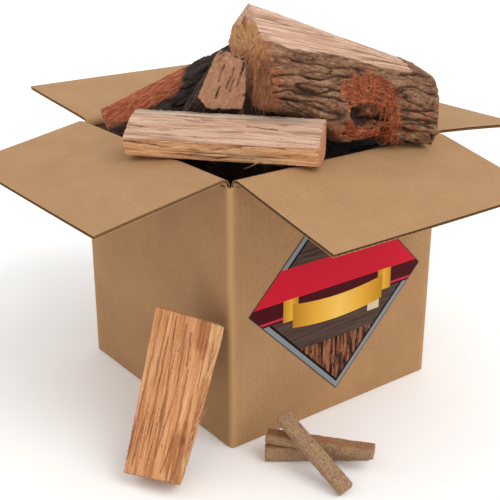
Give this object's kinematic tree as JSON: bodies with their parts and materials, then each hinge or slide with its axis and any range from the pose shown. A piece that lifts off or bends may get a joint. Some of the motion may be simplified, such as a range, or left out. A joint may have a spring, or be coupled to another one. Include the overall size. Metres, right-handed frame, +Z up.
{
  "type": "boxed firewood",
  "caption": "Open corrugated carton heaped with split firewood, its top flaps hinged on their creases, with one split leaning on a wall and starter sticks lying in front.",
  "frame": {"origin": "middle of the whole footprint, flaps out, on the floor under the carton", "axes": "+Z up, -Y out of the carton's labelled wall, +X to the right as that wall is faced"},
  "size_m": [0.6246, 0.6232, 0.4751],
  "materials": {
    "kraft_board": "matte",
    "printed_label": "satin",
    "pale_split_wood": "matte",
    "orange_split_wood": "matte",
    "bark": "matte",
    "dark_bark": "matte",
    "pressed_fibre": "matte"
  },
  "bodies": {
    "root": {"carton_body": "kraft_board", "bottom_flap_front": "kraft_board", "bottom_flap_back": "kraft_board", "bottom_flap_left": "kraft_board", "bottom_flap_right": "kraft_board", "label": "printed_label", "split_across_corner": "pale_split_wood", "split_bark_quarter": "bark", "split_sawn_end": "pale_split_wood", "split_dark_bark": "dark_bark", "split_leaning": "orange_split_wood", "split_row1_1": "orange_split_wood", "split_row1_2": "orange_split_wood", "split_row1_3": "orange_split_wood", "split_row2_1": "orange_split_wood", "split_row2_2": "orange_split_wood", "split_row2_3": "orange_split_wood", "split_row3_1": "orange_split_wood", "split_row3_2": "orange_split_wood", "split_row3_3": "orange_split_wood", "split_top_front": "orange_split_wood", "split_top_middle": "orange_split_wood", "split_top_inner": "orange_split_wood", "split_top_back": "orange_split_wood", "split_heap_front": "orange_split_wood", "split_heap_back": "dark_bark", "stick_lowest": "pressed_fibre", "stick_crossing": "pressed_fibre", "stick_topmost": "pressed_fibre"},
    "flap_front": {"flap_front": "kraft_board"},
    "flap_left": {"flap_left": "kraft_board"},
    "flap_back": {"flap_back": "kraft_board"},
    "flap_right": {"flap_right": "kraft_board"}
  },
  "joints": [
    {"name": "crease_front", "type": "hinge", "parent": "root", "child": "flap_front", "pos_m": [-0.00068, -0.15838, 0.317], "axis": [-1, 0, 0], "range_deg": [-69, 0]},
    {"name": "crease_left", "type": "hinge", "parent": "root", "child": "flap_left", "pos_m": [-0.15798, -0.00108, 0.317], "axis": [0, 1, 0], "range_deg": [-55, 0]},
    {"name": "crease_back", "type": "hinge", "parent": "root", "child": "flap_back", "pos_m": [-0.00068, 0.15622, 0.317], "axis": [1, 0, 0], "range_deg": [-86, 80]},
    {"name": "crease_right", "type": "hinge", "parent": "root", "child": "flap_right", "pos_m": [0.15662, -0.00108, 0.317], "axis": [0, -1, 0], "range_deg": [-76, 90]}
  ]
}
